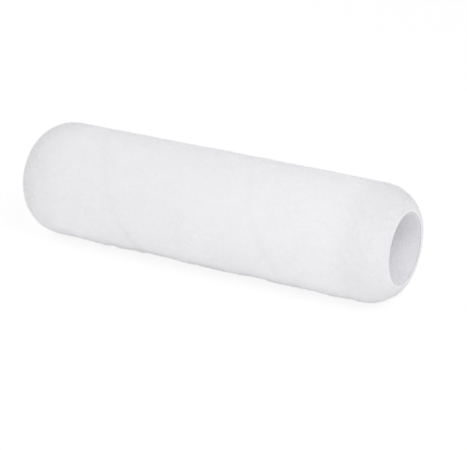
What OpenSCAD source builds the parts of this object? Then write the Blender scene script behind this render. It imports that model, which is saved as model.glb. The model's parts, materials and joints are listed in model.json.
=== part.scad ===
// Paint roller cover: a nine-inch sleeve that slips over a roller frame's cage.
// Two plastic strips and one strip of pile fabric are wound into a tube, each as a
// right-handed helix along X, and bonded to each other by two thin adhesive films.
// Units are millimetres. The origin is on the bore's axis, halfway along the tube.

/* [Core tube] */
// Length of the tube, end face to end face
core_length = 228.6; // [150:0.1:300]
// Diameter of the bore that the cage fills
bore_d = 38.1; // [30:0.1:60]
// Thickness of the inner plastic strip
inner_strip_t = 0.55; // [0.4:0.05:1.5]
// Thickness of the outer plastic strip
outer_strip_t = 0.55; // [0.4:0.05:1.5]
// Thickness of the adhesive film between the two strips
core_film_t = 0.15; // [0.1:0.05:0.5]

/* [Winding] */
// Width of the inner plastic strip, square across it
strip_w = 73.0; // [50:0.5:88]
// Gap between neighbouring turns of a strip, square across it
seam_gap = 0.4; // [0.2:0.1:1]
// Place of the fabric's seam along the top of the tube
cover_seam_x = 22.0; // [-60:0.5:60]
// Shift of each layer's seam from the one outside it, in turns
seam_stagger = 0.5; // [0.2:0.05:0.8]

/* [Cover fabric] */
// Thickness of the adhesive film under the fabric
cover_film_t = 0.2; // [0.1:0.05:0.5]
// Thickness of the knitted backing
backing_t = 0.9; // [0.5:0.1:2]
// Height of the pile above the backing
pile_h = 10.6; // [3:0.1:25]

/* [Bevelled ends] */
// Length of the rounded bevel on each end of the pile
bevel_l = 16.5; // [5:0.5:40]
// Roundness of the bevel: 1 is a straight cut, 2 is an ellipse
bevel_roundness = 1.85; // [1:0.05:3]
// How far the pile stays short of the tube's end face
pile_setback = 0.4; // [0.1:0.1:3]

/* [Resting place] */
// Width of the flat that the cover's own weight presses into the pile it lies on
rest_flat_w = 7.0; // [4:0.5:12]

/* [Hidden] */

// Radii of the layers, from the bore outwards
inner_strip_r = bore_d / 2;
core_film_r = inner_strip_r + inner_strip_t;
outer_strip_r = core_film_r + core_film_t;
cover_film_r = outer_strip_r + outer_strip_t;
backing_r = cover_film_r + cover_film_t;
pile_r = backing_r + backing_t;
nap_r = pile_r + pile_h;

// Height of the flat under the pile, from the axis
rest_z = -sqrt(nap_r * nap_r - rest_flat_w * rest_flat_w / 4);

// One turn of the winding: the strip's width and gap, laid round its own mean diameter
strip_girth = PI * (inner_strip_r + core_film_r);
strip_share = (strip_w + seam_gap) / strip_girth;
turn_pitch = (strip_w + seam_gap) / sqrt(1 - strip_share * strip_share);

// The seams, from the fabric inwards
outer_seam_x = cover_seam_x + seam_stagger * turn_pitch;
inner_seam_x = outer_seam_x + seam_stagger * turn_pitch;

// How finely things are drawn
round_fn = 180;
seam_step = 15;
bevel_steps = 14;
// How far a cutting shape runs past what it cuts
cut_over = 1;

// A tube along X between two radii, open at both ends
module tube(r_in, r_out, length) {
    rotate([0, 90, 0])
        difference() {
            cylinder(r = r_out, h = length, center = true, $fn = round_fn);
            cylinder(r = r_in, h = length + 2 * cut_over, center = true, $fn = round_fn);
        }
}

// A point at a place along X, a radius, and an angle from the top towards -Y
function around_x(x, r, angle) = [x, -r * sin(angle), r * cos(angle)];

// The helical gap between neighbouring turns of one wound strip. seam_x is where it
// crosses the top of the tube. Its slice is a rectangle in the plane through the axis.
module seam_cut(r_in, r_out, seam_x) {
    seam_angle = atan(turn_pitch / (PI * (r_in + r_out)));
    half_w = seam_gap / cos(seam_angle) / 2;
    reach = core_length / 2 + half_w + cut_over;
    first = floor((-reach - seam_x) / turn_pitch * 360 / seam_step);
    last = ceil((reach - seam_x) / turn_pitch * 360 / seam_step);
    steps = last - first;
    points = [
        for (i = [first : last])
            let (angle = i * seam_step, x = seam_x + turn_pitch * angle / 360)
            for (corner = [[-half_w, r_in - cut_over], [-half_w, r_out + cut_over],
                           [half_w, r_out + cut_over], [half_w, r_in - cut_over]])
                around_x(x + corner[0], corner[1], angle)
    ];
    sides = [
        for (i = [0 : steps - 1])
            for (k = [0 : 3])
                let (a = 4 * i + k, b = 4 * i + (k + 1) % 4)
                // both walls are split along matching diagonals, so the gap keeps its width
                for (face = k < 2 ? [[a, b, b + 4], [a, b + 4, a + 4]]
                                  : [[a, b, a + 4], [b, b + 4, a + 4]])
                    face
    ];
    ends = [[3, 2, 1, 0], [for (k = [0 : 3]) 4 * steps + k]];
    polyhedron(points = points, faces = concat(sides, ends), convexity = 10);
}

// A strip wound edge to edge into a tube
module wound_strip(r_in, thickness, seam_x) {
    difference() {
        tube(r_in, r_in + thickness, core_length);
        seam_cut(r_in, r_in + thickness, seam_x);
    }
}

// The inner plastic strip, whose inside is the bore
module core_inner_strip() {
    color("whitesmoke")
        wound_strip(inner_strip_r, inner_strip_t, inner_seam_x);
}

// The film that bonds the two plastic strips
module core_bond_film() {
    color("gainsboro")
        tube(core_film_r, outer_strip_r, core_length);
}

// The outer plastic strip, which bridges the inner one's seam
module core_outer_strip() {
    color("whitesmoke")
        wound_strip(outer_strip_r, outer_strip_t, outer_seam_x);
}

// The film that bonds the fabric to the core
module cover_bond_film() {
    color("gainsboro")
        tube(cover_film_r, backing_r, core_length);
}

// The knitted backing that the pile stands in
module pile_backing() {
    color("white")
        wound_strip(backing_r, backing_t, cover_seam_x);
}

// Half of the bevel's outline, from the shoulder to the rim, on the side given by way
function bevel(way) = [
    for (i = [0 : bevel_steps])
        let (t = 90 * i / bevel_steps,
             along = pow(sin(t), 2 / bevel_roundness),
             out = pow(cos(t), 2 / bevel_roundness))
        [pile_r + pile_h * out,
         way * (core_length / 2 - pile_setback - bevel_l * (1 - along))]
];

// The pile, as the outer shape of its fibre tips, pressed flat where it lies
module nap() {
    upper = bevel(1);
    lower = bevel(-1);
    outline = concat(upper, [for (i = [bevel_steps : -1 : 0]) lower[i]]);
    color("white")
        difference() {
            rotate([0, 90, 0])
                rotate_extrude($fn = round_fn)
                    polygon(outline);
            translate([-core_length / 2, -nap_r, rest_z - nap_r])
                cube([core_length, 2 * nap_r, nap_r]);
        }
}

core_inner_strip();
core_bond_film();
core_outer_strip();
cover_bond_film();
pile_backing();
nap();
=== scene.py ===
"""Looks of a nine-inch paint roller cover: wound plastic core, knitted backing and deep white pile.

Laid out as a Blender add-on and run as a script. Lengths are metres, in the part's own frame:
the origin is on the bore's axis halfway along the tube, +X runs along that axis and +Z is up.
"""

import json
import math

import bpy
import numpy as np
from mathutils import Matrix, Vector


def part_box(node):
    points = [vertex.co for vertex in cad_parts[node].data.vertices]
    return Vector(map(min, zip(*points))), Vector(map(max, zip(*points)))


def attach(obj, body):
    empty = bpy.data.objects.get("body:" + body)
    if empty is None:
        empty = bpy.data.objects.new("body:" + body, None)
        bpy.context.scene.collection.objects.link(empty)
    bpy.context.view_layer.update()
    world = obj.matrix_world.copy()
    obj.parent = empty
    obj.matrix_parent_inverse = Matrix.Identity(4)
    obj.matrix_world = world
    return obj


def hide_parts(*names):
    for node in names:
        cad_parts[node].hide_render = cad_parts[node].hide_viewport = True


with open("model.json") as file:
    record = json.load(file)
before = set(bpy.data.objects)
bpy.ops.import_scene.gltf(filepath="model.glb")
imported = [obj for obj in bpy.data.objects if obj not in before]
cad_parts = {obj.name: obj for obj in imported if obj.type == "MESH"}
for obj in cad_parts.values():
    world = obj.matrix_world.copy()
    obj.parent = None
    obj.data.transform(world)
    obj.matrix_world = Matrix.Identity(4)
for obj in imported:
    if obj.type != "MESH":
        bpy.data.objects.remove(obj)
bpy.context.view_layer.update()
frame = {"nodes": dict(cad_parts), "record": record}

bl_info = {
    "name": "Paint roller cover",
    "version": (1, 0, 0),
    "blender": (4, 5, 0),
    "location": "View3D > Sidebar > Roller cover",
    "description": "Builds the pile, the finishes and the studio of a paint roller cover",
    "category": "Object",
}

MM = 0.001
BORE_R = frame["record"]["mounts"][0]["dims"]["r_mm"] * MM
CORE_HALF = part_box("core_inner_strip")[1].x
INNER_STRIP_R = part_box("core_inner_strip")[1].z
PILE_ROOT_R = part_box("pile_backing")[1].z
NAP_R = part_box("nap")[1].z
FLOOR_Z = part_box("nap")[0].z
TURN = 2 * math.pi

# The rim of the pile: its outermost fibres droop over the core's end face, and stand in a low
# lip over the backing's
RIM_X = CORE_HALF + 0.12 * MM
RIM_R = BORE_R + 0.25 * MM
RIM_LIP = 0.45 * MM
# How far from a rim the pile's relief fades, and the share of it that is left there
RIM_FADE_LENGTH = 2.5 * MM
RIM_FADE_LEAST = 0.15

# The pile's relief, as pairs of height and lump size: slow swells, lumps and fine roughness all
# over, then rubbed and matted tufts on the underside
SWELL = (0.30 * MM, 34 * MM)
LUMPS = (0.16 * MM, 9 * MM)
ROUGH = (0.05 * MM, 1.7 * MM)
RUBBED = (0.7 * MM, 6 * MM)
MATTED = (0.4 * MM, 2.2 * MM)

# The seam's valley: its half width; its pull at the tube's middle, and how much that falls by
# +X; the share of the pull that is left on top; and the size and strength of its patches
SEAM_HALF_WIDTH = 2.8 * MM
SEAM_PULL_MIDDLE = 0.75
SEAM_PULL_FALL = 0.45
SEAM_PULL_TOP = 0.35
SEAM_PATCH_SIZE = 14 * MM
SEAM_PATCH_MEAN = 0.75
SEAM_PATCH_SWING = 0.45

# The tufts: where in its own cell a tuft's middle may lie, and how far its crown reaches
TUFT_MIDDLES = (0.15, 0.85)
TUFT_REACH = 0.75

# How finely the pile's body is drawn: places on its outline, rings along it, points around
# each, rings inside it; and its overlap of the core's end and clearance over the floor
OUTLINE_PLACES = 1200
NAP_RINGS = 300
NAP_COLUMNS = 264
NAP_INNER_RINGS = 24
END_OVERLAP = 0.05 * MM
FLOOR_CLEARANCE = 0.03 * MM

# The locks of fibre: how deep they root, how much they stand, gather, stray and lie one way
FIBRE_BANDS = 6
FIBRE_ROOT_DEPTH = 0.3 * MM
FIBRE_STAND = 0.8
FIBRE_GATHER = 0.3
FIBRE_STRAY = 0.6
FIBRE_SWEEP = 0.2
FIBRE_LEAST_RISE = 0.15
# The spread of their lengths and widths, their twist, and the length that is left at a rim
FIBRE_LENGTHS = (0.5, 1.1)
FIBRE_WIDTHS = (0.7, 1.2)
FIBRE_TWIST = 0.15
FIBRE_RIM_LENGTH = 0.4

# How far each draw of random numbers stands from the user's seed
TUFT_SEED = 5
SEAM_SEED = 6
FIBRE_SEED = 20

# Where painted shade darkens the pile's colour towards its ends, and by how much there and along the
# seam
END_PAINTED_SHADE_FROM = CORE_HALF - 34 * MM
END_PAINTED_SHADE_TO = CORE_HALF - 2 * MM
END_PAINTED_SHADE = 0.915
SEAM_PAINTED_SHADE = 0.955

# Where painted shade darkens the core's colour towards its ends, and by how much; and the grain pressed
# into it
CORE_END_PAINTED_SHADE_FROM = CORE_HALF - 12 * MM
CORE_END_PAINTED_SHADE = 0.98
DIAMONDS_AROUND = 58
GRAIN_HEIGHT = 0.14 * MM

# The size of each finish's patches of colour, and the knit's loops and their height
PILE_DRIFT_SIZE = 30 * MM
PILE_LOCK_SIZE = 2.3 * MM
CORE_CLOUD_SIZE = 18 * MM
FILM_FLOW_SIZE = 3 * MM
KNIT_LOOP_SIZE = 1.0 * MM
KNIT_HEIGHT = 0.25 * MM

# The studio's light: an even tent, a glowing table and two softboxes, the stronger one up to
# the right and the other past the left end
TENT_LIGHT = 0.66
TABLE_GLOW = 0.20
TABLE_WHITENESS = 0.8
KEY_PLACE = (0.64, -0.36, 0.70)
KEY_SIZE = 0.6
KEY_POWER = 3.2
FILL_PLACE = (-1.30, 0.0, 0.75)
FILL_SIZE = 1.0
FILL_POWER = 4.0
TABLE_HALF = 3.0
TABLE_ALBEDO = 0.94

# The camera: its bearing from -Y towards +X and its height, in degrees; its distance from the
# place it looks at; how far that place is to the right of the origin and below it; and the lens
CAMERA_AZIMUTH = 30.13
CAMERA_ELEVATION = 21.74
CAMERA_DISTANCE = 1.0148
CAMERA_SHIFT_RIGHT = 9.43 * MM
CAMERA_SHIFT_DOWN = 8.83 * MM
CAMERA_SENSOR = 36
CAMERA_LENS = 142.04


def linear(hex_colour):
    """The linear RGB of an sRGB hex colour."""
    parts = [int(hex_colour[i : i + 2], 16) / 255 for i in (1, 3, 5)]
    return tuple(c / 12.92 if c <= 0.04045 else ((c + 0.055) / 1.055) ** 2.4 for c in parts)


# --- Settings that a user would change -------------------------------------------------


class RollerPileSettings(bpy.types.PropertyGroup):
    """Sizes of the pile."""

    bevel_length: bpy.props.FloatProperty(
        name="Bevel length",
        description="Length along the tube of the rounded bevel at each end",
        default=17 * MM,
        unit="LENGTH",
    )
    bevel_roundness: bpy.props.FloatProperty(
        name="Bevel roundness",
        description="1 is a straight cut and 2 is an ellipse",
        default=1.8,
    )
    tuft_pitch: bpy.props.FloatProperty(
        name="Tuft pitch",
        description="Distance between neighbouring tufts of fibre",
        default=2.3 * MM,
        unit="LENGTH",
    )
    tuft_depth: bpy.props.FloatProperty(
        name="Tuft depth",
        description="Depth of the hollows between tufts",
        default=0.2 * MM,
        unit="LENGTH",
    )
    seam_place: bpy.props.FloatProperty(
        name="Seam place",
        description="Where the fabric's seam crosses the top of the tube, from its middle",
        default=22 * MM,
        unit="LENGTH",
    )
    strip_width: bpy.props.FloatProperty(
        name="Strip width",
        description="Width of the wound strips, with the gap between turns",
        default=73.4 * MM,
        unit="LENGTH",
    )
    seam_depth: bpy.props.FloatProperty(
        name="Seam depth",
        description="Depth of the soft valley that the seam leaves in the pile",
        default=0.5 * MM,
        unit="LENGTH",
    )
    fibre_length: bpy.props.FloatProperty(
        name="Fibre length",
        description="Length of the fibre tips that stand out of the pile",
        default=1.3 * MM,
        unit="LENGTH",
    )
    fibre_width: bpy.props.FloatProperty(
        name="Fibre width",
        description="Width of one lock of fibres at its root",
        default=0.1 * MM,
        unit="LENGTH",
    )
    fibre_count: bpy.props.IntProperty(
        name="Fibre count",
        description="Locks of fibre in each band of the pile",
        default=150000,
    )
    seed: bpy.props.IntProperty(
        name="Seed",
        description="Number that fixes the random lie of the fibres",
        default=7,
    )


class RollerFinishSettings(bpy.types.PropertyGroup):
    """Colours of the finishes."""

    pile_colour: bpy.props.FloatVectorProperty(
        name="Pile",
        description="Colour of the pile's fibres",
        subtype="COLOR",
        default=linear("#F6F6F8"),
    )
    core_colour: bpy.props.FloatVectorProperty(
        name="Core",
        description="Colour of the core's plastic strips",
        subtype="COLOR",
        default=linear("#FCFCFF"),
    )
    film_colour: bpy.props.FloatVectorProperty(
        name="Film",
        description="Colour of the adhesive films",
        subtype="COLOR",
        default=linear("#DEDEDC"),
    )
    backing_colour: bpy.props.FloatVectorProperty(
        name="Backing",
        description="Colour of the knitted backing",
        subtype="COLOR",
        default=linear("#EDEDEE"),
    )


# --- Shared tools -----------------------------------------------------------------------


def add_node(tree, kind, settings=None, inputs=None):
    """Adds one node, with its properties, and its inputs as values or as sockets to link."""
    node = tree.nodes.new(kind)
    for name, value in (settings or {}).items():
        setattr(node, name, value)
    for name, value in (inputs or {}).items():
        if isinstance(value, bpy.types.NodeSocket):
            tree.links.new(value, node.inputs[name])
        else:
            node.inputs[name].default_value = value
    return node


def new_material(name):
    """An empty material and its node tree."""
    material = bpy.data.materials.new(name)
    material.use_nodes = True
    material.node_tree.nodes.clear()
    return material, material.node_tree


def finish_material(tree, shader):
    """Joins a shader to the material's output."""
    add_node(tree, "ShaderNodeOutputMaterial", None, {"Surface": shader.outputs[0]})


def soft_noise(points, size, seed):
    """Smooth noise from about -1 to 1 at each point, with lumps of that size."""
    rng = np.random.default_rng(seed)
    order = rng.permutation(256)
    values = rng.uniform(-1, 1, 256)
    place = points / size
    cell = np.floor(place).astype(np.int64)
    share = place - cell
    share = share * share * (3 - 2 * share)
    total = np.zeros(len(points))
    for corner in np.ndindex(2, 2, 2):
        weight = np.prod(np.where(np.array(corner), share, 1 - share), axis=1)
        x, y, z = (cell + corner).T & 255
        total += weight * values[order[(order[(order[x] + y) & 255] + z) & 255]]
    return total


def new_mesh_piece(name, vertices, faces, smooth=True):
    """A mesh object from vertices and an array of faces, which all have as many corners."""
    mesh = bpy.data.meshes.new(name)
    face_count, corners = faces.shape
    starts = corners * np.arange(face_count)
    mesh.vertices.add(len(vertices))
    mesh.vertices.foreach_set("co", vertices.astype(np.float32).ravel())
    mesh.loops.add(faces.size)
    mesh.loops.foreach_set("vertex_index", faces.astype(np.int32).ravel())
    mesh.polygons.add(face_count)
    mesh.polygons.foreach_set("loop_start", starts.astype(np.int32))
    mesh.polygons.foreach_set("loop_total", np.full(face_count, corners, np.int32))
    mesh.polygons.foreach_set("use_smooth", np.full(face_count, smooth))
    mesh.update(calc_edges=True)
    mesh.validate()
    piece = bpy.data.objects.new(name, mesh)
    bpy.context.scene.collection.objects.link(piece)
    return piece


# --- The pile's shape -------------------------------------------------------------------


def pile_outline(pile, count):
    """Places evenly spaced along the pile's outline, from one rim to the other: x, radius, and
    the outward direction as (along x, out from the axis)."""
    t = np.linspace(0, math.pi / 2, 400)
    power = 2 / pile.bevel_roundness
    along = RIM_X - pile.bevel_length * (1 - np.sin(t) ** power)
    out = RIM_R + (NAP_R - RIM_R) * np.cos(t) ** power
    near_rim = (out - RIM_R) / (PILE_ROOT_R - RIM_R)
    along = along + RIM_LIP * near_rim * np.exp(1 - near_rim)
    x = np.concatenate([-along[::-1], along])
    r = np.concatenate([out[::-1], out])
    length = np.concatenate([[0], np.cumsum(np.hypot(np.diff(x), np.diff(r)))])
    even = np.linspace(0, length[-1], count)
    x, r = np.interp(even, length, x), np.interp(even, length, r)
    dx, dr = np.gradient(x), np.gradient(r)
    size = np.hypot(dx, dr)
    return x, r, -dr / size, dx / size, length[-1]


def around(x, r, angle):
    """Points at a place along X, a radius and an angle from the top towards -Y."""
    return np.stack(np.broadcast_arrays(x, -r * np.sin(angle), r * np.cos(angle)), axis=-1)


def tuft_grid(pile, length, seed):
    """Jittered middles of the tufts, as (rows along the outline, columns around the tube)."""
    rng = np.random.default_rng(seed)
    rows = round(length / pile.tuft_pitch)
    columns = round(TURN * NAP_R / pile.tuft_pitch)
    return rng.uniform(*TUFT_MIDDLES, (rows, columns, 2))


def nearest_tuft(middles, along, angle):
    """The distance to the nearest tuft's middle, in tuft pitches, and the way to it."""
    rows, columns, _ = middles.shape
    u, v = along * rows, angle / TURN * columns
    best = np.full(u.shape, 9.0)
    way = np.zeros(u.shape + (2,))
    for step_u, step_v in np.ndindex(3, 3):
        i = np.floor(u).astype(int) + step_u - 1
        j = np.floor(v).astype(int) + step_v - 1
        middle = middles[np.clip(i, 0, rows - 1), j % columns]
        du = i + middle[..., 0] - u
        dv = j + middle[..., 1] - v
        distance = np.hypot(du, dv)
        closer = distance < best
        best = np.where(closer, distance, best)
        way[closer] = np.stack([du, dv], axis=-1)[closer]
    return best, way


def seam_pitch(pile):
    """How far the helical seam travels along the tube in one turn."""
    girth = math.pi * (BORE_R + INNER_STRIP_R)
    return pile.strip_width / math.sqrt(1 - (pile.strip_width / girth) ** 2)


def seam_valley(pile, points, angle):
    """How hard the fabric's seam pulls the pile in: most on its line, and not at all beside it.
    The seam is drawn tightest towards -X and low down, and comes and goes along its length."""
    pitch = seam_pitch(pile)
    off = (points[..., 0] - pile.seam_place - pitch * angle / TURN + pitch / 2) % pitch - pitch / 2
    pull = SEAM_PULL_MIDDLE - SEAM_PULL_FALL * points[..., 0] / CORE_HALF
    low = np.clip(0.5 - points[..., 2] / NAP_R, 0, 1)
    pull *= SEAM_PULL_TOP + (1 - SEAM_PULL_TOP) * low
    patches = soft_noise(points.reshape(-1, 3), SEAM_PATCH_SIZE, pile.seed + SEAM_SEED)
    pull *= SEAM_PATCH_MEAN + SEAM_PATCH_SWING * patches.reshape(off.shape)
    return pull * np.exp(-((off / SEAM_HALF_WIDTH) ** 2))


def pile_relief(pile, points, along, angle, middles):
    """How far the pile's surface stands out from its plain outline at each place."""
    flat = points.reshape(-1, 3)
    under = np.clip(-points[..., 2] / NAP_R, 0, 1) ** 2
    layers = [(1.0, layer) for layer in (SWELL, LUMPS, ROUGH)]
    layers += [(under, layer) for layer in (RUBBED, MATTED)]
    relief = np.zeros(points.shape[:-1])
    for i, (share, (height, size)) in enumerate(layers):
        relief += height * share * soft_noise(flat, size, pile.seed + i).reshape(relief.shape)
    distance, _ = nearest_tuft(middles, along, angle)
    relief -= pile.tuft_depth * np.clip(distance / TUFT_REACH, 0, 1) ** 2
    return relief - pile.seam_depth * seam_valley(pile, points, angle)


def press_on_floor(points):
    """Keeps the pile above what it lies on, as its own weight flattens it there."""
    points[..., 2] = np.maximum(points[..., 2], FLOOR_Z + FLOOR_CLEARANCE)
    return points


class PileSurface:
    """The pile's surface, as points and outward directions for any place on it."""

    def __init__(self, pile):
        self.pile = pile
        self.x, self.r, self.nx, self.nr, self.length = pile_outline(pile, OUTLINE_PLACES)
        self.share = np.linspace(0, 1, len(self.x))
        self.area = np.cumsum(self.r) / np.sum(self.r)
        self.middles = tuft_grid(pile, self.length, pile.seed + TUFT_SEED)

    def outline(self, along, value):
        """One of the outline's values at a share of its length."""
        return np.interp(along, self.share, value)

    def spread(self, area):
        """The shares of the outline's length that match shares of the pile's area."""
        return np.interp(area, self.area, self.share)

    def rim_fade(self, along):
        """1 over the pile, falling to almost nothing at its rims."""
        from_rim = np.minimum(along, 1 - along) * self.length
        return np.clip(from_rim / RIM_FADE_LENGTH, RIM_FADE_LEAST, 1)

    def place(self, along, angle):
        """Points on the finished surface, and the plain outline's outward directions."""
        x, r = self.outline(along, self.x), self.outline(along, self.r)
        nx, nr = self.outline(along, self.nx), self.outline(along, self.nr)
        points = around(x, r, angle)
        outward = around(nx, nr, angle)
        relief = pile_relief(self.pile, points, along, angle, self.middles)
        return points + outward * (relief * self.rim_fade(along))[..., None], outward


def add_painted_seam_shade(piece, pile, points, angle):
    """How near each vertex is to the fabric's seam, for the painted shade along the seam in the pile's
    colour.
    """
    layer = piece.data.attributes.new("seam", "FLOAT", "POINT")
    layer.data.foreach_set("value", seam_valley(pile, points, angle).astype(np.float32).ravel())


def add_bake_map(piece, corner_uv):
    """A texture map for baking, from one (u, v) for each face corner."""
    layer = piece.data.uv_layers.new(name="OFBake")
    layer.data.foreach_set("uv", corner_uv.astype(np.float32).ravel())


def build_nap(pile, surface):
    """The body of the pile: its tufted outer surface, closed by the face that meets the backing."""
    columns = NAP_COLUMNS
    column_angle = (np.arange(columns) / columns * TURN)[None, :]
    along, angle = np.broadcast_arrays(np.linspace(0, 1, NAP_RINGS)[:, None], column_angle)
    outer, _ = surface.place(along, angle)
    inner_end = CORE_HALF + END_OVERLAP
    inner_x = np.linspace(inner_end, -inner_end, NAP_INNER_RINGS)[:, None]
    inner = around(inner_x, PILE_ROOT_R, column_angle)
    rings = np.concatenate([press_on_floor(outer), inner])
    count = len(rings)
    ring = np.arange(count)[:, None]
    column = np.arange(columns)[None, :]
    here, after = ring * columns, (ring + 1) % count * columns
    next_column = (column + 1) % columns
    faces = np.stack(
        [here + column, here + next_column, after + next_column, after + column], axis=-1
    )
    piece = new_mesh_piece("nap_pile", rings.reshape(-1, 3), faces.reshape(-1, 4))
    add_painted_seam_shade(piece, pile, rings, column_angle)
    steps_u = np.array([0, 1, 1, 0])
    steps_v = np.array([0, 0, 1, 1])
    u = (column[..., None] + steps_u) / columns + 0 * ring[..., None]
    v = (ring[..., None] + steps_v) / count + 0 * column[..., None]
    add_bake_map(piece, np.stack([u, v], axis=-1).reshape(-1, 2))
    return piece


def unit(vectors):
    """Vectors scaled to a length of one."""
    return vectors / np.linalg.norm(vectors, axis=1)[:, None]


def build_fibres(pile, surface, name, start, end, seed):
    """Locks of fibre that stand out of the pile between two shares of its area."""
    rng = np.random.default_rng(seed)
    count = pile.fibre_count
    along = surface.spread(rng.uniform(start, end, count))
    angle = rng.uniform(0, TURN, count)
    root, outward = surface.place(along, angle)
    _, way = nearest_tuft(surface.middles, along, angle)
    side = around(0, 1, angle + math.pi / 2)
    lengthwise = np.cross(side, outward)
    gather = FIBRE_GATHER * (way[:, :1] * lengthwise + way[:, 1:] * side)
    stray = rng.normal(0, FIBRE_STRAY, (count, 3))
    lie = unit(FIBRE_STAND * outward + gather + stray + FIBRE_SWEEP * side)
    rise = np.sum(lie * outward, axis=1)
    lie = unit(lie + np.maximum(FIBRE_LEAST_RISE - rise, 0)[:, None] * outward)
    length = pile.fibre_length * rng.uniform(*FIBRE_LENGTHS, count)
    length *= FIBRE_RIM_LENGTH + (1 - FIBRE_RIM_LENGTH) * surface.rim_fade(along)
    root = root - FIBRE_ROOT_DEPTH * outward
    tip = root + lie * length[:, None]
    across = unit(np.cross(lie, outward + rng.normal(0, FIBRE_TWIST, (count, 3))))
    across *= pile.fibre_width * rng.uniform(*FIBRE_WIDTHS, count)[:, None] / 2
    corners = press_on_floor(np.stack([root - across, root + across, tip], axis=1))
    faces = np.arange(3 * count).reshape(-1, 3)
    piece = new_mesh_piece(name, corners.reshape(-1, 3), faces, smooth=False)
    add_painted_seam_shade(piece, pile, corners, angle[:, None])
    cells = math.ceil(math.sqrt(count))
    cell = np.stack([np.arange(count) % cells, np.arange(count) // cells], axis=-1)
    spots = np.array([[0.1, 0.1], [0.9, 0.1], [0.5, 0.9]])
    add_bake_map(piece, (cell[:, None] + spots) / cells)
    return piece


# --- Finishes ---------------------------------------------------------------------------


def polyester_pile(finish):
    """Knitted polyester pile, sheared: matt, soft and milky, because light scatters among its
    fibres. The colour drifts a little from lock to lock. It carries painted shade towards the
    bevelled ends, and along the fabric's seam, where the fibres part and light sinks in."""
    material, tree = new_material("knitted_polyester_pile")
    where = add_node(tree, "ShaderNodeTexCoord")
    split = add_node(tree, "ShaderNodeSeparateXYZ", None, {0: where.outputs["Object"]})
    from_middle = add_node(
        tree, "ShaderNodeMath", {"operation": "ABSOLUTE"}, {0: split.outputs["X"]}
    )
    # Painted shade: the pile's colour darkens towards both ends of the tube
    end_painted_shade = add_node(
        tree,
        "ShaderNodeMapRange",
        {"interpolation_type": "SMOOTHSTEP"},
        {
            "Value": from_middle.outputs[0],
            "From Min": END_PAINTED_SHADE_FROM,
            "From Max": END_PAINTED_SHADE_TO,
            "To Min": 1.0,
            "To Max": END_PAINTED_SHADE,
        },
    )
    drift = add_node(
        tree,
        "ShaderNodeTexNoise",
        None,
        {"Vector": where.outputs["Object"], "Scale": 1 / PILE_DRIFT_SIZE, "Detail": 3.0},
    )
    locks = add_node(
        tree,
        "ShaderNodeTexNoise",
        None,
        {"Vector": where.outputs["Object"], "Scale": 1 / PILE_LOCK_SIZE, "Detail": 4.0},
    )
    both = add_node(
        tree,
        "ShaderNodeMath",
        {"operation": "ADD"},
        {0: drift.outputs["Fac"], 1: locks.outputs["Fac"]},
    )
    tint = add_node(
        tree,
        "ShaderNodeMapRange",
        None,
        {"Value": both.outputs[0], "From Min": 0.6, "From Max": 1.4, "To Min": 0.965, "To Max": 1.0},
    )
    # Painted shade: the pile's colour darkens along the seam's valley
    seam = add_node(tree, "ShaderNodeAttribute", {"attribute_name": "seam"})
    seam_painted_shade = add_node(
        tree,
        "ShaderNodeMapRange",
        None,
        {"Value": seam.outputs["Fac"], "To Min": 1.0, "To Max": SEAM_PAINTED_SHADE},
    )
    off_seam = add_node(
        tree,
        "ShaderNodeMath",
        {"operation": "MULTIPLY"},
        {0: tint.outputs[0], 1: seam_painted_shade.outputs[0]},
    )
    shade = add_node(
        tree,
        "ShaderNodeMath",
        {"operation": "MULTIPLY"},
        {0: off_seam.outputs[0], 1: end_painted_shade.outputs[0]},
    )
    colour = add_node(
        tree,
        "ShaderNodeVectorMath",
        {"operation": "SCALE"},
        {0: tuple(finish.pile_colour), "Scale": shade.outputs[0]},
    )
    shader = add_node(
        tree,
        "ShaderNodeBsdfPrincipled",
        None,
        {
            "Base Color": colour.outputs[0],
            "Roughness": 0.95,
            "IOR": 1.45,
            "Specular IOR Level": 0.15,
        },
    )
    finish_material(tree, shader)
    return material


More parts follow.
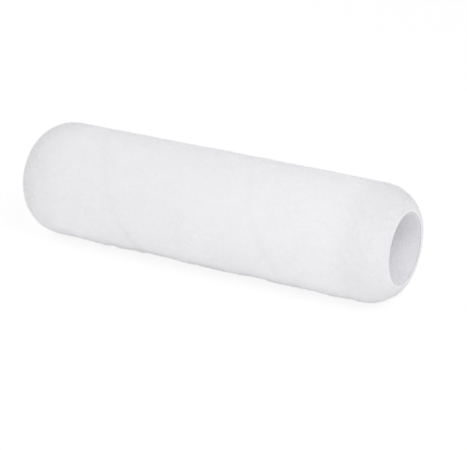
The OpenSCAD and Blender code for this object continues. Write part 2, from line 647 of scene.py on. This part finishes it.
def embossed_polypropylene(finish):
    """Extruded polypropylene strip: milky white and faintly waxy, pressed with a fine diamond
    grain by the embossing roll, and a trace darker near its ends from painted shade."""
    material, tree = new_material("embossed_polypropylene")
    where = add_node(tree, "ShaderNodeTexCoord")
    split = add_node(tree, "ShaderNodeSeparateXYZ", None, {0: where.outputs["Object"]})
    angle = add_node(
        tree,
        "ShaderNodeMath",
        {"operation": "ARCTAN2"},
        {0: split.outputs["Y"], 1: split.outputs["Z"]},
    )
    slope = add_node(
        tree,
        "ShaderNodeMath",
        {"operation": "MULTIPLY"},
        {0: angle.outputs[0], 1: float(DIAMONDS_AROUND)},
    )
    pitch = TURN * BORE_R / DIAMONDS_AROUND
    run = add_node(
        tree,
        "ShaderNodeMath",
        {"operation": "MULTIPLY"},
        {0: split.outputs["X"], 1: TURN / pitch},
    )
    waves = []
    for operation in ("ADD", "SUBTRACT"):
        phase = add_node(
            tree,
            "ShaderNodeMath",
            {"operation": operation},
            {0: run.outputs[0], 1: slope.outputs[0]},
        )
        half = add_node(
            tree, "ShaderNodeMath", {"operation": "MULTIPLY"}, {0: phase.outputs[0], 1: 0.5}
        )
        wave = add_node(tree, "ShaderNodeMath", {"operation": "SINE"}, {0: half.outputs[0]})
        waves.append(
            add_node(tree, "ShaderNodeMath", {"operation": "ABSOLUTE"}, {0: wave.outputs[0]})
        )
    grain = add_node(
        tree,
        "ShaderNodeMath",
        {"operation": "MINIMUM"},
        {0: waves[0].outputs[0], 1: waves[1].outputs[0]},
    )
    relief = add_node(
        tree,
        "ShaderNodeBump",
        None,
        {"Height": grain.outputs[0], "Distance": GRAIN_HEIGHT, "Strength": 1.0},
    )
    cloud = add_node(
        tree,
        "ShaderNodeTexNoise",
        None,
        {"Vector": where.outputs["Object"], "Scale": 1 / CORE_CLOUD_SIZE, "Detail": 3.0},
    )
    tint = add_node(
        tree,
        "ShaderNodeMapRange",
        None,
        {"Value": cloud.outputs["Fac"], "From Min": 0.3, "From Max": 0.7, "To Min": 0.96, "To Max": 1.0},
    )
    # Painted shade: the core's colour darkens over its last stretch towards each end
    from_middle = add_node(
        tree, "ShaderNodeMath", {"operation": "ABSOLUTE"}, {0: split.outputs["X"]}
    )
    end_painted_shade = add_node(
        tree,
        "ShaderNodeMapRange",
        {"interpolation_type": "SMOOTHSTEP"},
        {
            "Value": from_middle.outputs[0],
            "From Min": CORE_END_PAINTED_SHADE_FROM,
            "From Max": CORE_HALF,
            "To Min": 1.0,
            "To Max": CORE_END_PAINTED_SHADE,
        },
    )
    level = add_node(
        tree,
        "ShaderNodeMath",
        {"operation": "MULTIPLY"},
        {0: tint.outputs[0], 1: end_painted_shade.outputs[0]},
    )
    colour = add_node(
        tree,
        "ShaderNodeVectorMath",
        {"operation": "SCALE"},
        {0: tuple(finish.core_colour), "Scale": level.outputs[0]},
    )
    shader = add_node(
        tree,
        "ShaderNodeBsdfPrincipled",
        None,
        {
            "Base Color": colour.outputs[0],
            "Roughness": 0.5,
            "IOR": 1.49,
            "Normal": relief.outputs[0],
        },
    )
    finish_material(tree, shader)
    return material


def hot_melt_film(finish):
    """Hot-melt polypropylene adhesive: set from a melt, so its edge is smooth, slightly waxy and
    uneven in thickness."""
    material, tree = new_material("hot_melt_film")
    where = add_node(tree, "ShaderNodeTexCoord")
    flow = add_node(
        tree,
        "ShaderNodeTexNoise",
        None,
        {"Vector": where.outputs["Object"], "Scale": 1 / FILM_FLOW_SIZE, "Detail": 2.0},
    )
    tint = add_node(
        tree,
        "ShaderNodeMapRange",
        None,
        {"Value": flow.outputs["Fac"], "From Min": 0.3, "From Max": 0.7, "To Min": 0.93, "To Max": 1.0},
    )
    colour = add_node(
        tree,
        "ShaderNodeVectorMath",
        {"operation": "SCALE"},
        {0: tuple(finish.film_colour), "Scale": tint.outputs[0]},
    )
    shader = add_node(
        tree,
        "ShaderNodeBsdfPrincipled",
        None,
        {"Base Color": colour.outputs[0], "Roughness": 0.42, "IOR": 1.49},
    )
    finish_material(tree, shader)
    return material


def knitted_backing(finish):
    """Circular-knitted polyester backing: rows of loops about 1 mm apart, matt, seen edge on, with
    painted shade where the loops meet.
    """
    material, tree = new_material("knitted_polyester_backing")
    where = add_node(tree, "ShaderNodeTexCoord")
    loops = add_node(
        tree,
        "ShaderNodeTexVoronoi",
        {"feature": "DISTANCE_TO_EDGE"},
        {"Vector": where.outputs["Object"], "Scale": 1 / KNIT_LOOP_SIZE},
    )
    relief = add_node(
        tree,
        "ShaderNodeBump",
        None,
        {"Height": loops.outputs["Distance"], "Distance": KNIT_HEIGHT, "Strength": 0.8},
    )
    # Painted shade: the colour darkens towards the edges of each loop, in the hollows between loops
    tint = add_node(
        tree,
        "ShaderNodeMapRange",
        None,
        {
            "Value": loops.outputs["Distance"],
            "From Min": 0.0,
            "From Max": 0.4,
            "To Min": 0.86,
            "To Max": 1.0,
        },
    )
    colour = add_node(
        tree,
        "ShaderNodeVectorMath",
        {"operation": "SCALE"},
        {0: tuple(finish.backing_colour), "Scale": tint.outputs[0]},
    )
    shader = add_node(
        tree,
        "ShaderNodeBsdfPrincipled",
        None,
        {
            "Base Color": colour.outputs[0],
            "Roughness": 0.95,
            "Specular IOR Level": 0.2,
            "Normal": relief.outputs[0],
        },
    )
    finish_material(tree, shader)
    return material


def dress(node_name, material):
    """Gives a CAD node its finish."""
    piece = frame["nodes"][node_name]
    piece.data.materials.clear()
    piece.data.materials.append(material)


# --- Operators --------------------------------------------------------------------------


class ROLLER_OT_core(bpy.types.Operator):
    """Finish the wound plastic core and its adhesive films"""

    bl_idname = "roller_cover.core"
    bl_label = "Core"

    def execute(self, context):
        finish = context.scene.roller_finish
        plastic = embossed_polypropylene(finish)
        film = hot_melt_film(finish)
        for name in ("core_inner_strip", "core_outer_strip"):
            dress(name, plastic)
        for name in ("core_bond_film", "cover_bond_film"):
            dress(name, film)
        return {"FINISHED"}


class ROLLER_OT_backing(bpy.types.Operator):
    """Finish the knitted backing that the pile stands in"""

    bl_idname = "roller_cover.backing"
    bl_label = "Backing"

    def execute(self, context):
        dress("pile_backing", knitted_backing(context.scene.roller_finish))
        return {"FINISHED"}


class ROLLER_OT_pile(bpy.types.Operator):
    """Build the pile, its tufts and the locks of fibre that stand out of it"""

    bl_idname = "roller_cover.pile"
    bl_label = "Pile"

    def execute(self, context):
        pile = context.scene.roller_pile
        material = polyester_pile(context.scene.roller_finish)
        surface = PileSurface(pile)
        nap = build_nap(pile, surface)
        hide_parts("nap")
        pieces = [nap]
        for i in range(FIBRE_BANDS):
            start, end = i / FIBRE_BANDS, (i + 1) / FIBRE_BANDS
            name = f"fibres_band_{i + 1}"
            seed = pile.seed + FIBRE_SEED + i
            pieces.append(build_fibres(pile, surface, name, start, end, seed))
        for piece in pieces:
            piece.data.materials.append(material)
            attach(piece, "root")
        return {"FINISHED"}


def aim(thing, target):
    """Turns a camera or lamp at a place to look at another."""
    thing.rotation_euler = (Vector(target) - thing.location).to_track_quat("-Z", "Y").to_euler()


def add_softbox(name, place, size, power):
    """A large soft studio lamp that faces the object."""
    lamp = bpy.data.lights.new(name, "AREA")
    lamp.shape = "SQUARE"
    lamp.size = size
    lamp.energy = power
    thing = bpy.data.objects.new(name, lamp)
    thing.location = place
    aim(thing, (0, 0, 0))
    bpy.context.scene.collection.objects.link(thing)


def build_floor():
    """A plain pale light table under the object, which lifts the shade on the underside."""
    corners = TABLE_HALF * np.array([[-1, -1], [1, -1], [1, 1], [-1, 1]])
    vertices = np.column_stack([corners, np.full(4, FLOOR_Z)])
    floor = new_mesh_piece("studio_floor", vertices, np.array([[0, 1, 2, 3]]), smooth=False)
    material, tree = new_material("pale_light_table")
    path = add_node(tree, "ShaderNodeLightPath")
    top = add_node(tree, "ShaderNodeBsdfDiffuse", None, {"Color": (*[TABLE_ALBEDO] * 3, 1.0)})
    glow = add_node(tree, "ShaderNodeEmission", None, {"Strength": TABLE_GLOW})
    table = add_node(tree, "ShaderNodeAddShader", None, {0: top.outputs[0], 1: glow.outputs[0]})
    white = add_node(tree, "ShaderNodeEmission", None, {"Strength": 1.0})
    share = add_node(
        tree,
        "ShaderNodeMath",
        {"operation": "MULTIPLY"},
        {0: path.outputs["Is Camera Ray"], 1: TABLE_WHITENESS},
    )
    seen = add_node(
        tree,
        "ShaderNodeMixShader",
        None,
        {0: share.outputs[0], 1: table.outputs[0], 2: white.outputs[0]},
    )
    finish_material(tree, seen)
    floor.data.materials.append(material)


def build_world():
    """Even white light all round, as in a light tent, which shows as white behind the object."""
    world = bpy.data.worlds.new("light_tent")
    bpy.context.scene.world = world
    world.use_nodes = True
    tree = world.node_tree
    tree.nodes.clear()
    path = add_node(tree, "ShaderNodeLightPath")
    level = add_node(
        tree,
        "ShaderNodeMapRange",
        None,
        {"Value": path.outputs["Is Camera Ray"], "To Min": TENT_LIGHT, "To Max": 1.0},
    )
    light = add_node(
        tree,
        "ShaderNodeBackground",
        None,
        {"Color": (1.0, 1.0, 1.0, 1.0), "Strength": level.outputs[0]},
    )
    add_node(tree, "ShaderNodeOutputWorld", None, {"Surface": light.outputs[0]})


def build_camera():
    """The camera, in front, to the right of and above the object."""
    azimuth, elevation = math.radians(CAMERA_AZIMUTH), math.radians(CAMERA_ELEVATION)
    back = Vector(
        (
            math.sin(azimuth) * math.cos(elevation),
            -math.cos(azimuth) * math.cos(elevation),
            math.sin(elevation),
        )
    )
    right = Vector((math.cos(azimuth), math.sin(azimuth), 0))
    up = back.cross(right)
    target = CAMERA_SHIFT_RIGHT * right - CAMERA_SHIFT_DOWN * up
    data = bpy.data.cameras.new("camera")
    data.sensor_width = CAMERA_SENSOR
    data.lens = CAMERA_LENS
    camera = bpy.data.objects.new("camera", data)
    camera.location = target + back * CAMERA_DISTANCE
    aim(camera, target)
    bpy.context.scene.collection.objects.link(camera)
    bpy.context.scene.camera = camera


class ROLLER_OT_stage(bpy.types.Operator):
    """Set up the floor, the soft lights and the camera"""

    bl_idname = "roller_cover.stage"
    bl_label = "Studio"

    def execute(self, context):
        build_floor()
        build_world()
        build_camera()
        add_softbox("key_softbox", KEY_PLACE, KEY_SIZE, KEY_POWER)
        add_softbox("fill_softbox", FILL_PLACE, FILL_SIZE, FILL_POWER)
        context.scene.view_settings.view_transform = "Standard"
        return {"FINISHED"}


class ROLLER_PT_panel(bpy.types.Panel):
    """Buttons that build the roller cover"""

    bl_label = "Roller cover"
    bl_idname = "ROLLER_PT_panel"
    bl_space_type = "VIEW_3D"
    bl_region_type = "UI"
    bl_category = "Roller cover"

    def draw(self, context):
        for settings in (context.scene.roller_pile, context.scene.roller_finish):
            for name in settings.__annotations__:
                self.layout.prop(settings, name)
        for operator in OPERATORS:
            self.layout.operator(operator.bl_idname)


OPERATORS = (ROLLER_OT_core, ROLLER_OT_backing, ROLLER_OT_pile, ROLLER_OT_stage)
CLASSES = (RollerPileSettings, RollerFinishSettings, *OPERATORS, ROLLER_PT_panel)


def register():
    for kind in CLASSES:
        bpy.utils.register_class(kind)
    bpy.types.Scene.roller_pile = bpy.props.PointerProperty(type=RollerPileSettings)
    bpy.types.Scene.roller_finish = bpy.props.PointerProperty(type=RollerFinishSettings)


def unregister():
    del bpy.types.Scene.roller_finish
    del bpy.types.Scene.roller_pile
    for kind in reversed(CLASSES):
        bpy.utils.unregister_class(kind)


def main():
    register()
    bpy.ops.roller_cover.core()
    bpy.ops.roller_cover.backing()
    bpy.ops.roller_cover.pile()
    bpy.ops.roller_cover.stage()


if __name__ == "__main__":
    main()
